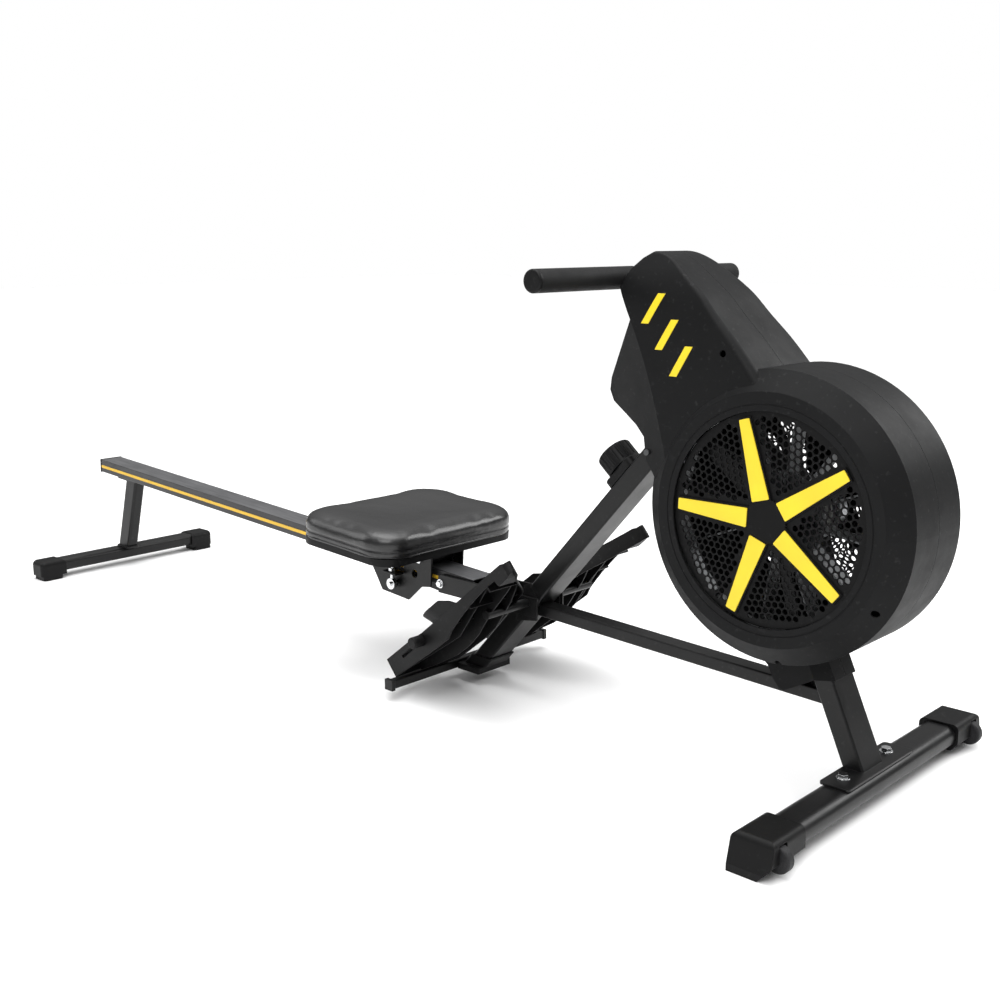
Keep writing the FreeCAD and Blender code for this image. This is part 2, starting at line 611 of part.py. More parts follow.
def grille_holes():
    """Staggered rows of holes, turned in every sector to follow the blade beside it."""
    lean = math.atan2(BLADE_IN_HALF - BLADE_OUT_HALF, BLADE_OUT - BLADE_IN)
    row_step = HOLE_PITCH * math.sqrt(3) / 2
    count = int(GRILLE_R / row_step) + 3
    holes = []
    for k in range(BLADE_COUNT):
        start = math.radians(BLADE_TURN + 360 / BLADE_COUNT * k)
        a = start - lean
        for row in range(-count, count + 1):
            for col in range(-count, count + 1):
                u, v = (col + 0.5 * (row % 2)) * HOLE_PITCH, row * row_step
                x, z = u * math.cos(a) - v * math.sin(a), u * math.sin(a) + v * math.cos(a)
                turn = (math.atan2(z, x) - start) % (2 * math.pi)
                if turn > 2 * math.pi / BLADE_COUNT:
                    continue
                if math.hypot(x, z) < GRILLE_R - 9 and not near_blade(x, z, HOLE_R + 3.2):
                    holes.append((x, z))
    return holes


def grille_parts():
    y0 = -(FACE_HALF - GRILLE_DEEP)
    holes = [Part.makeCircle(HOLE_R, V(x, y0, FAN_Z + z), V(0, 1, 0)) for x, z in grille_holes()]
    rim = Part.makeCircle(GRILLE_R - 0.3, V(0, y0, FAN_Z), V(0, 1, 0))
    wires = [Part.Wire([edge]) for edge in [rim] + holes]
    plate = Part.makeFace(wires, "Part::FaceMakerBullseye")
    plate = plate.extrude(V(0, GRILLE_THICK - 0.1, 0))
    raised, blades = [], []
    for k in range(BLADE_COUNT):
        turn = BLADE_TURN + 360 / BLADE_COUNT * k
        raised.append(blade_solid(turn, 2.2, y0 + 0.2, -2.9))
        blades.append(blade_solid(turn, 0, y0 - 2.7, -1.3))
    hub_pts = [V(30 * math.cos(math.radians(BLADE_TURN + 36 + 72 * k)), y0 + 0.2,
                 FAN_Z + 30 * math.sin(math.radians(BLADE_TURN + 36 + 72 * k))) for k in range(5)]
    hub = Part.Face(Part.makePolygon(hub_pts + hub_pts[:1])).extrude(V(0, -2.9, 0))
    star = fuse(raised + [hub])
    grille = plate.fuse(star)
    save("grille_right", grille)
    save("grille_left", mirror(grille))
    save("grille_blades", group(blades + [mirror(b) for b in blades]))


def console_parts():
    block, down, out = console_block(0, 1.5, 16)
    body = block.makeFillet(1.2, block.Edges)
    place = block.Placement

    def placed(shape):
        shape.Placement = place.multiply(shape.Placement)
        return shape
    window = placed(Part.makeBox(30, 50, 2, V(-24, -25, 0.7)))
    hole = placed(Part.makeCylinder(5.3, 8, V(19, 0, -3)))
    screen = placed(Part.makeBox(29.6, 49.6, 1.0, V(-23.8, -24.8, 0.7)))
    save("console_case", body.cut(window).cut(hole))
    save("console_screen", screen)
    button = placed(Part.makeCylinder(5.0, 4.2, V(19, 0, -0.8)))
    save("console_button", button)


# ---------------------------------------------------------------- fan drive
def fan_plate(y0, y1):
    """Plate that carries the fan axle between the main post and the front post's crosspiece."""
    rear = main_post_point(385)
    front = (CROSS_X - 3, CROSS_TOP)
    parts = [cyl_y(0, FAN_Z, 20, y0, y1)]
    for (ax, az), half in ((rear, 12), (front, 8)):
        d = V(ax, 0, az - FAN_Z).normalize()
        n = V(-d.z, 0, d.x) * half
        pts = [(ax + n.x, az + n.z), (n.x, FAN_Z + n.z), (-n.x, FAN_Z - n.z), (ax - n.x, az - n.z)]
        parts.append(prism(pts, y0, y1))
        parts.append(cyl_y(ax, az, half, y0, y1))
    parts.append(cyl_y(rear[0], rear[1], 9, POST_W / 2, y0 + 1))
    return fuse(parts)


def spiral(r_in, r_out, turns, thick, y0, y1):
    """Flat coiled strip around the fan axle."""
    sides = []
    for grow in (0.0, thick):
        pts = []
        for k in range(turns * 8 + 1):
            a = math.pi / 4 * k
            r = r_in + grow + (r_out - thick - r_in) * k / (turns * 8)
            pts.append(V(r * math.cos(a), y0, FAN_Z + r * math.sin(a)))
        curve = Part.BSplineCurve()
        curve.interpolate(pts)
        sides.append((curve.toShape(), pts[0], pts[-1]))
    (inner, a0, a1), (outer, b0, b1) = sides
    wire = Part.Wire([inner, Part.makeLine(a1, b1), outer, Part.makeLine(b0, a0)])
    return Part.Face(wire).extrude(V(0, y1 - y0, 0))


def fan_parts():
    plate = fan_plate(PLATE_Y0, PLATE_Y1).cut(cyl_y(0, FAN_Z, AXLE_R + 0.02, 0, 90))
    save("fan_plates", group([plate, mirror(plate)]))
    axle = cyl_y(0, FAN_Z, AXLE_R, -66, 66)
    nuts = [ring_y(0, FAN_Z, AXLE_R, 10, *sorted((s * PLATE_Y1, s * (PLATE_Y1 + 7)))) for s in (-1, 1)]
    save("fan_axle", fuse([axle] + nuts))

    hub = ring_y(0, FAN_Z, 11.0, 24.0, FAN_Y0, FAN_Y1)
    mid = (FAN_Y0 + FAN_Y1) / 2
    web = ring_y(0, FAN_Z, 11.0, 58.0, mid - 1.5, mid + 1.5)
    rim = ring_y(0, FAN_Z, FAN_R - 3, FAN_R, mid - 12, mid + 12)
    solids = [hub, web, rim]
    for k in range(VANES):
        vane = box(22, FAN_R - 1, FAN_Y0 + 2, FAN_Y1 - 2, FAN_Z - 1.2, FAN_Z + 1.2)
        vane.rotate(V(0, 0, FAN_Z), V(0, 1, 0), 360 / VANES * k + 8)
        solids.append(vane)
    save("fan_wheel", fuse(solids))
    save("fan_bearings", group([ring_y(0, FAN_Z, AXLE_R + 0.04, 10.97, FAN_Y0 + 1, FAN_Y0 + 9),
                                ring_y(0, FAN_Z, AXLE_R + 0.04, 10.97, FAN_Y1 - 9, FAN_Y1 - 1)]))

    drum = ring_y(0, FAN_Z, AXLE_R + 0.05, SPOOL_R, -SPOOL_HALF, SPOOL_HALF)
    lips = [ring_y(0, FAN_Z, AXLE_R + 0.05, SPOOL_R + 10,
                   *sorted((s * SPOOL_HALF, s * (SPOOL_HALF + SPOOL_LIP)))) for s in (-1, 1)]
    sleeve = ring_y(0, FAN_Z, AXLE_R + 0.05, SLEEVE_R, SPOOL_HALF, 47)
    save("strap_spool", fuse([drum, sleeve] + lips))
    wall = ring_y(0, FAN_Z, 39, 42, 36, PLATE_Y0)
    lid = ring_y(0, FAN_Z, SLEEVE_R + 0.5, 42, 33, 36)
    save("recoil_spring_case", fuse([wall, lid]))
    save("recoil_spring", spiral(SLEEVE_R + 0.4, 38.6, 5, 0.5, 38, 46))

    # brake arm with magnets beside the fan's rim, hinged on a lug of the main post
    start, end = BRAKE_FROM, BRAKE_TO
    arm = ring_y(0, FAN_Z, FAN_R + 9.2, FAN_R + 14, -46, -21)
    wedge_pts = [(0, FAN_Z)]
    for k in range(9):
        a = math.radians(start + (end - start) * k / 8)
        wedge_pts.append((260 * math.cos(a), FAN_Z + 260 * math.sin(a)))
    arm = arm.common(prism(wedge_pts, -60, 60))
    px, pz = brake_pivot()
    eye = cyl_y(px, pz, 7.5, -46, -21)
    arm = fuse([arm, eye]).cut(cyl_y(px, pz, 3.05, -60, 60))
    save("brake_arm", arm)
    magnets = []
    for a in (start + 11, start + 17, start + 23):
        x, z = math.cos(math.radians(a)), math.sin(math.radians(a))
        block = Part.makeBox(4.0, 16, 12, V(FAN_R + 5.0, -41, -6))
        block.rotate(V(0, 0, 0), V(0, 1, 0), -a)
        block.translate(V(0, 0, FAN_Z))
        magnets.append(block)
    save("brake_magnets", group(magnets))


def brake_lug():
    """Lug with a pin on the main post, for the brake arm."""
    px, pz = brake_pivot()
    lug = prism([(px - 9, pz - 8), (px + 8, pz - 8), (px + 8, pz + 9), (px - 34, pz + 22),
                 (px - 40, pz + 2)], -20.5, -15)
    pin = cyl_y(px, pz, 3.0, -49, -15)
    lug = max(lug.cut(main_post_solid(0)).Solids, key=lambda s: s.Volume)
    return fuse([lug, pin])


BRAKE_FROM, BRAKE_TO = 130.0, 163.0


def brake_pivot():
    a = math.radians(BRAKE_FROM - 1.0)
    r = FAN_R + 14.5
    return r * math.cos(a), FAN_Z + r * math.sin(a)


def knob_parts():
    a = math.radians(POST_ANGLE)
    up = V(-math.sin(a), 0, math.cos(a))
    along = V(math.cos(a), 0, math.sin(a))
    turn = FreeCAD.Rotation(along, V(0, 1, 0), up, "ZYX")
    x, z = main_post_point(KNOB_ALONG, POST_D / 2)
    place = FreeCAD.Placement(V(x, 0, z), turn)

    def put(shape):
        shape.Placement = place.multiply(shape.Placement)
        return shape
    base = rounded_rect(62, 50, 10).extrude(V(0, 0, 13))
    base = base.makeFillet(3, [e for e in base.Edges if e.BoundBox.ZMin > 12.9])
    base = base.cut(cyl((0, 0, -1), (0, 0, 1), 5.06, 20))
    save("tension_base", put(base))
    knob = cyl((0, 0, 13.6), (0, 0, 1), 27, 31)
    knob = knob.makeFillet(4, [e for e in knob.Edges if e.BoundBox.ZMin > 44])
    grooves = []
    for k in range(18):
        b = math.radians(20 * k)
        grooves.append(cyl((28.4 * math.cos(b), 28.4 * math.sin(b), 17), (0, 0, 1), 2.6, 40))
    knob = knob.cut(group(grooves))
    spindle = cyl((0, 0, -10), (0, 0, 1), 5.0, 26)
    save("tension_knob", put(fuse([knob, spindle])))


def strap_parts():
    """Strap from the handle over the guide pulley to the spool on the fan axle."""
    r1, r2 = PULLEY_R + 0.3, SPOOL_R + 0.3
    c1, c2 = V(PULLEY_X, 0, PULLEY_Z), V(0, 0, FAN_Z)
    span = c2 - c1
    d = V(span.x, 0, span.z).normalize()
    n = V(-d.z, 0, d.x)
    lean = math.asin((r2 - r1) / span.Length)
    n = n * math.cos(lean) - d * math.sin(lean)
    start, end = c1 + n * r1, c2 + n * r2
    half = STRAP_W / 2
    outer = [p + n * STRAP_T for p in (start, end)]
    run = prism([(p.x, p.z) for p in (start, outer[0], outer[1], end)], -half, half)
    bend = ring_y(PULLEY_X, PULLEY_Z, r1, r1 + STRAP_T, -half, half)
    far = V(n.x, 0, n.z) * 60
    bend = bend.common(prism([(PULLEY_X, PULLEY_Z), (PULLEY_X, PULLEY_Z + 60),
                              (PULLEY_X + 60, PULLEY_Z + 60), (PULLEY_X + far.x, PULLEY_Z + far.z)],
                             -half, half))
    lead = box(STRAP_END_X, PULLEY_X, -half, half, PULLEY_Z + r1, PULLEY_Z + r1 + STRAP_T)
    coil = ring_y(0, FAN_Z, r2, r2 + STRAP_T, -half, half)
    save("pull_strap", fuse([lead, bend, run, coil]))


STRAP_END_X = -239.0


def handle_parts():
    bar = ring_y(HANDLE_X, HANDLE_Z, BAR_R - 2, BAR_R, -HANDLE_HALF + 6, HANDLE_HALF - 6)
    save("handle_bar", bar)
    grip = ring_y(HANDLE_X, HANDLE_Z, BAR_R, GRIP_R, 20, 222)
    save("handle_grips", group([grip, mirror(grip)]))
    cap = cyl_y(HANDLE_X, HANDLE_Z, GRIP_R, 222, HANDLE_HALF)
    cap = cap.makeFillet(3.5, [e for e in cap.Edges if e.BoundBox.YMin > HANDLE_HALF - 0.1])
    cap = fuse([cap, cyl_y(HANDLE_X, HANDLE_Z, BAR_R - 2.05, 205, 222)])
    save("grip_caps", group([cap, mirror(cap)]))
    loop = ring_y(HANDLE_X, HANDLE_Z, BAR_R, BAR_R + 3, -STRAP_W / 2, STRAP_W / 2)
    tail = box(HANDLE_X + BAR_R, STRAP_END_X - 0.6, -STRAP_W / 2, STRAP_W / 2,
               HANDLE_Z - 3, HANDLE_Z + 3)
    clip = fuse([loop, tail.cut(cyl_y(HANDLE_X, HANDLE_Z, BAR_R, -50, 50))])
    save("strap_clip", clip)

    # pulley between two plates on top of the main post
    half = STRAP_W / 2 + 2
    wheel = ring_y(PULLEY_X, PULLEY_Z, 4.05, PULLEY_R, -half, half)
    lips = [ring_y(PULLEY_X, PULLEY_Z, 4.05, PULLEY_R + 4, *sorted((s * half, s * (half + 2.5))))
            for s in (-1, 1)]
    save("guide_pulley", fuse([wheel] + lips))
    inner = POST_W / 2
    axle = cyl_y(PULLEY_X, PULLEY_Z, 4.0, -inner - 6, inner + 6)
    head = cyl_y(PULLEY_X, PULLEY_Z, 7.0, -inner - 7, -inner - 3)
    save("pulley_axle", fuse([axle, head]))
    shelf = box(-274, -232, -22, 22, 636.5, 640.5)
    post = box(-238, -232, -22, 22, 622, 637)
    save("handle_rest", fuse([shelf, post]))


def pulley_plates():
    """Two plates welded to the main post that carry the guide pulley."""
    corners = [(-200, 652), (-172, 652), (-108, 530), (-140, 505)]
    plates = []
    for side in (-1, 1):
        plate = prism(corners, *sorted((side * POST_W / 2, side * (POST_W / 2 + 3))))
        plates.append(plate.cut(cyl_y(PULLEY_X, PULLEY_Z, 4.02, -60, 60)))
    return plates


# ---------------------------------------------------------------- seat
def seat_parts():
    def put(shape):
        return on_rail(shape, SEAT_X)
    board_top = BOARD_LOW + BOARD_T
    board = rounded_rect(SEAT_L - 12, SEAT_W - 12, 40).extrude(V(0, 0, BOARD_T))
    board.translate(V(SEAT_SHIFT, 0, BOARD_LOW))
    save("seat_board", put(board.cut(box(-80, 98, -42, 42, BOARD_LOW - 1, PLATE_TOP))))
    cushion = rounded_rect(SEAT_L, SEAT_W, 42).extrude(V(0, 0, CUSHION_H))
    cushion.translate(V(SEAT_SHIFT, 0, board_top))
    top = [e for e in cushion.Edges if e.BoundBox.ZMin > board_top + CUSHION_H - 0.1]
    save("seat_cushion", put(cushion.makeFillet(14, top)))

    side_pts = [(-74, PLATE_TOP), (-74, 12), (-57, -20), (-26, -63), (40, -65), (70, -35),
                (92, -30), (92, PLATE_TOP)]
    y0, y1 = CARRIAGE_IN, CARRIAGE_IN + CARRIAGE_T
    low_z = -RAIL_H - LOWER_ROLLER_R - ROLLER_GAP
    top_z = ROLLER_R + ROLLER_GAP
    plates = [box(-74, 92, -y1, y1, PLATE_TOP - CARRIAGE_T, PLATE_TOP)]
    plates += [prism(side_pts, y0, y1), prism(side_pts, -y1, -y0)]
    frame = fuse(plates)
    frame = frame.cut(box(-6, 26, -60, 60, -20, -5))
    frame = frame.cut(cyl_y(53, -16, 7, -60, 60))
    for x in ROLLER_X:
        frame = frame.cut(cyl_y(x, top_z, 4.05, -60, 60))
    slot = [box(LOWER_X - 4.3, LOWER_X + 4.3, -60, 60, low_z - 5, low_z + 4.3)]
    frame = frame.cut(slot[0])
    tabs = [box(-6, 26, *sorted((s * y0, s * (y1 + 19))), -23, -20) for s in (-1, 1)]
    tabs = [t.cut(cyl((LOWER_X, s * EYE_Y, -30), (0, 0, 1), 3.3, 20)) for s, t in zip((-1, 1), tabs)]
    save("seat_carriage", put(fuse([frame] + tabs)))

    for name, x in zip(("front", "rear"), ROLLER_X):
        half = 30.0
        barrel = ring_y(x, top_z, 4.25, ROLLER_R, -half, half)
        lips = [ring_y(x, top_z, 4.25, ROLLER_R + 4, *sorted((s * (RAIL_W / 2 + 1.2), s * half)))
                for s in (-1, 1)]
        save("upper_roller_" + name, put(fuse([barrel] + lips)))
    save("lower_roller", put(ring_y(LOWER_X, low_z, 4.05, LOWER_ROLLER_R, -30, 30)))
    axles = []
    for x in ROLLER_X:
        axle = bolt((x, -y1, top_z), (0, -1, 0), 4.0, 2 * y1 + 8, 6, 4.5, False)
        axles.append(fuse([axle, ring_y(x, top_z, 4.0, 6.3, y1, y1 + 6)]))
        axles[-1] = axles[-1].fuse(ring_y(x, top_z, 4.0, 4.2, -31, 31)).removeSplitter()
    axles.append(cyl_y(LOWER_X, low_z, 4.0, -EYE_Y - 8, EYE_Y + 8))
    eyes = []
    for side in (-1, 1):
        ring = ring_y(LOWER_X, low_z, 4.06, 9.5, side * EYE_Y - 4, side * EYE_Y + 4)
        stud = cyl((LOWER_X, side * EYE_Y, low_z + 7), (0, 0, 1), 3.2, -4 - low_z - 7)
        nut = hexagon(LOWER_X, side * EYE_Y, -20, 11, 6)
        eyes.append(fuse([ring, stud, nut]).cut(cyl_y(LOWER_X, low_z, 4.06, -90, 90)))
    save("roller_hardware", put(group(axles + eyes)))


ROLLER_X = (65.0, -52.0)
LOWER_X, EYE_Y = 9.0, 48.0


# ---------------------------------------------------------------- pedals
def pedal_frame(shape, side):
    """Move a shape from sole coordinates to its place on one side."""
    a = math.radians(PEDAL_ANGLE)
    s_dir, t_dir = V(math.cos(a), 0, math.sin(a)), V(math.sin(a), 0, -math.cos(a))
    y_dir = t_dir.cross(s_dir)
    turn = FreeCAD.Rotation(s_dir, y_dir, t_dir, "ZXY")
    placed = shape.copy()
    centre = V(HEEL_X, PEDAL_Y, HEEL_Z)
    placed.Placement = FreeCAD.Placement(centre, turn).multiply(placed.Placement)
    return placed if side > 0 else mirror(placed)


def sole_form(inset, t0, t1):
    """Footprint of the sole: straight outer edge, inner edge swept across to the toe."""
    out, inn = -PEDAL_HALF + inset, PEDAL_HALF - inset
    points = [(205, inn), (232, 46 - inset), (262, 16 - inset), (292, -17 - inset),
              (316 - inset, -38), (326 - inset, -47), (318 - inset, out)]
    curve = Part.BSplineCurve()
    curve.interpolate([V(s, y, t0) for s, y in points])
    corners = [V(318 - inset, out, t0), V(inset, out, t0), V(inset, inn, t0), V(205, inn, t0)]
    edges = [Part.makeLine(a, b) for a, b in zip(corners, corners[1:])]
    return Part.Face(Part.Wire(edges + [curve.toShape()])).extrude(V(0, 0, t1 - t0))


def side_cut(points, y0, y1):
    """Plate between y0 and y1 with its outline given in the (s, t) plane."""
    corners = [V(s, y0, t) for s, t in points]
    return Part.Face(Part.makePolygon(corners + corners[:1])).extrude(V(0, y1 - y0, 0))


SIDE_LINE = [(-1, -15), (76, -13), (100, -10), (314, -10), (325, -5), (330, 2), (262, 3), (238, 5), (200, 10),
             (162, 18), (146, 25), (114, 24), (-1, 17)]
FINS = [(-34, [(6, -6), (6, 13), (104, 23), (148, 27), (183, 17), (209, 10), (240, 0), (262, -6)]),
        (-6, [(6, -6), (6, 20), (40, 29), (95, 39), (126, 40), (157, 36), (199, 23), (250, 14),
              (288, 4), (300, -6)]),
        (22, [(6, -6), (6, 22), (65, 37), (135, 39), (166, 37), (194, 29), (221, 21), (241, 12),
              (262, 0), (268, -6)])]
NOSE_LINE = [(286, -8), (314, -8), (325, -4), (330, 2), (325, 9), (312, 13), (292, 14)]
SLOT_S0, SLOT_S1, CLAMP_S, CLAMP_T = 36.0, 97.0, 93.0, -1.0
WINDOW_S0, WINDOW_S1 = 28.0, 108.0
CUP_S, CUP_R, CUP_LEAN = 152.0, 50.0, 0.7


def pedal_solid():
    walls = sole_form(0, -15, 30).cut(sole_form(3, -20, 40))
    walls = walls.common(side_cut(SIDE_LINE, -80, 80))
    inner = sole_form(2, -8, 60)
    swept = sole_form(0, -8, 15).cut(sole_form(3, -20, 40)).common(Part.makeBox(200, 200, 30, V(196, -50, -8)))
    nose = sole_form(0, -8, 16).common(side_cut(NOSE_LINE, -80, 80))
    parts = [sole_form(1, -8, -4.5), walls, swept, nose]
    for y, line in FINS:
        parts.append(side_cut(line, y - 1.3, y + 1.3).common(inner))
    for s in (60, 112, 164, 216, 268):
        parts.append(Part.makeBox(2.6, 200, 17, V(s, -100, -6)).common(sole_form(2, -8, 30)))
    pedal = fuse(parts)
    slot = Part.makeBox(SLOT_S1 - SLOT_S0, 12, 5.0, V(SLOT_S0, -PEDAL_HALF - 4, CLAMP_T - 2.5))
    window = Part.makeBox(WINDOW_S1 - WINDOW_S0, 12, 24, V(WINDOW_S0, -PEDAL_HALF + 4.5, -16))
    pedal = pedal.cut(slot).cut(window)
    return pedal.cut(Part.makeCylinder(PEDAL_BAR_R + 0.05, 400, V(*bar_in_sole()), V(0, 1, 0)))


def bar_in_sole():
    """The upper cross bar's place in sole coordinates."""
    a = math.radians(PEDAL_ANGLE)
    dx, dz = PEDAL_BAR_X - HEEL_X, PEDAL_BAR_Z - HEEL_Z
    return (dx * math.cos(a) + dz * math.sin(a), -200, dx * math.sin(a) - dz * math.cos(a))


def heel_cup_solids():
    def u_form(r, t0, t1):
        round_end = Part.makeCylinder(r, t1 - t0, V(CUP_S, 0, t0))
        return round_end.fuse(Part.makeBox(70, 2 * r, t1 - t0, V(CUP_S, -r, t0))).removeSplitter()
    wall = u_form(CUP_R, -36, -8.4).cut(u_form(CUP_R - 3, -40, 0))
    lean = FreeCAD.Matrix()
    lean.A13 = CUP_LEAN
    lean.A14 = CUP_LEAN * 8.4
    wall = wall.transformGeometry(lean)
    wall = wall.common(side_cut([(60, -8.4), (60, -36), (158, -34), (178, -23), (192, -11), (192, -8.4)],
                                -80, 80))
    base = u_form(CUP_R, -11, -8.4).common(Part.makeBox(75, 120, 20, V(CUP_S - 52, -60, -15)))
    ear = Part.makeBox(26, 2.5, 14, V(CLAMP_S - 13, -PEDAL_HALF + 6, -11))
    bridge = Part.makeBox(26, 42, 2.6, V(CLAMP_S - 13, -PEDAL_HALF + 6, -11))
    hole = Part.makeCylinder(2.25, 30, V(CLAMP_S, -PEDAL_HALF - 5, CLAMP_T), V(0, 1, 0))
    cup = fuse([wall, base, ear, bridge]).cut(hole)
    shank = Part.makeCylinder(2.2, 12, V(CLAMP_S, -PEDAL_HALF - 2, CLAMP_T), V(0, 1, 0))
    knob = Part.makeCylinder(9, 21, V(CLAMP_S, -PEDAL_HALF - 21.5, CLAMP_T), V(0, 1, 0))
    knob = knob.makeFillet(2, [e for e in knob.Edges if e.BoundBox.YMax < -PEDAL_HALF - 21])
    return [cup, fuse([shank, knob])]


def pedal_parts():
    save("pedal_bar", cyl_y(PEDAL_BAR_X, PEDAL_BAR_Z, PEDAL_BAR_R, -PEDAL_BAR_HALF, PEDAL_BAR_HALF))
    x = main_post_at(27) - 35
    rest = tube(14, 14, 2, (x, -176, 26), (x, 176, 26))
    cap = box(x - 8.5, x + 8.5, 176, 183, 17.5, 34.5)
    save("heel_bar", group([rest, cap, mirror(cap)]))
    notch = box(x - 7.3, x + 7.3, -200, 200, 18.7, 33.3)
    pedal, cup = pedal_solid(), heel_cup_solids()
    for name, side in (("right", -1), ("left", 1)):
        save("pedal_" + name, pedal_frame(pedal, side).cut(notch))
        save("heel_cup_" + name, pedal_frame(group(cup), side))


# ---------------------------------------------------------------- build
def main():
    frame_parts()
    rail_parts()
    rear_caps()
    front_foot()
    housing_parts()
    grille_parts()
    console_parts()
    fan_parts()
    knob_parts()
    strap_parts()
    handle_parts()
    seat_parts()
    pedal_parts()
    os.makedirs("parts", exist_ok=True)
    for name, shape in PARTS.items():
        placed = shape.copy()
        placed.translate(V(FAN_X, 0, 0))
        placed.exportStep("parts/" + name + ".step")
        print(name, len(placed.Solids), "solids", round(placed.Volume / 1000, 1), "cm3",
              "valid" if placed.isValid() else "NOT VALID")


main()
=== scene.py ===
import math

import bmesh
import bpy
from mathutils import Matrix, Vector


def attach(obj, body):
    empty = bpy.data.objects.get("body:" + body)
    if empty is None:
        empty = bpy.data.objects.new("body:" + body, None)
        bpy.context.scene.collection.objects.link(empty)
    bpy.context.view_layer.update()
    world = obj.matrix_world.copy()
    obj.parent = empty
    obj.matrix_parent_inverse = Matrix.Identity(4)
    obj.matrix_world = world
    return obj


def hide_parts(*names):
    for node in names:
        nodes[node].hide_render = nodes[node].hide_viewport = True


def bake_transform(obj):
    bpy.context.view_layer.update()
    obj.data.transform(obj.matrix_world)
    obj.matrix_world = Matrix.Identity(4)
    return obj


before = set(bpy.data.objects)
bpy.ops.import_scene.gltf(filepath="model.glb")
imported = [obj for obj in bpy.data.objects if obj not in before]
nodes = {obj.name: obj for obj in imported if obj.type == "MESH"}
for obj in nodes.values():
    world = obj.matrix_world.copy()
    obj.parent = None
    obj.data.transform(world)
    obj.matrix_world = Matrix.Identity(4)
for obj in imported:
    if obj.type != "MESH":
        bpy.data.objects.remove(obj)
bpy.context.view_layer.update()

# ------------------------------------------------------------------ sizes, metres
FAN_X = 0.7617              # the drawing's zero lies on the fan axle
FAN_Z = 0.3637
RAIL_TILT = math.radians(3.03)
SEAT = Vector((FAN_X - 0.745, 0, 0.17963))
CUSHION_LOW, CUSHION_LONG, CUSHION_WIDE = 0.038, 0.236, 0.322
PULLEY = Vector((FAN_X - 0.185, 0, 0.6402))
PULLEY_R, SPOOL_R, STRAP_W, STRAP_T = 0.0173, 0.0303, 0.026, 0.0015
STRAP_END = FAN_X - 0.239

# seat pad: it stands proud of the board, is blown up as cloth and then sewn
PAD_PROUD, PAD_CORNER, SIDE_PULL = 0.0015, 0.056, 0.001
PIPING_INSET, PIPING_CORNER, PIPING_R = 0.0032, 0.056, 0.0016
VOXEL, PUFF_STEPS, PUFF_LIMIT = 0.0045, 20, 0.0042
SEAM_UP, SEAM_DEEP, SEAM_WIDE, DISH_DEEP = 0.0115, 0.0022, 0.0014, 0.0035

# neck marks: three bars, each a little further forward and down than the last
MARK_START, MARK_STEP = (FAN_X - 0.186, 0.640), (0.026, -0.033)
MARK_WIDE, MARK_LEAN, MARK_LONG, MARK_LIFT = 0.012, -0.022, -0.040, 0.0004


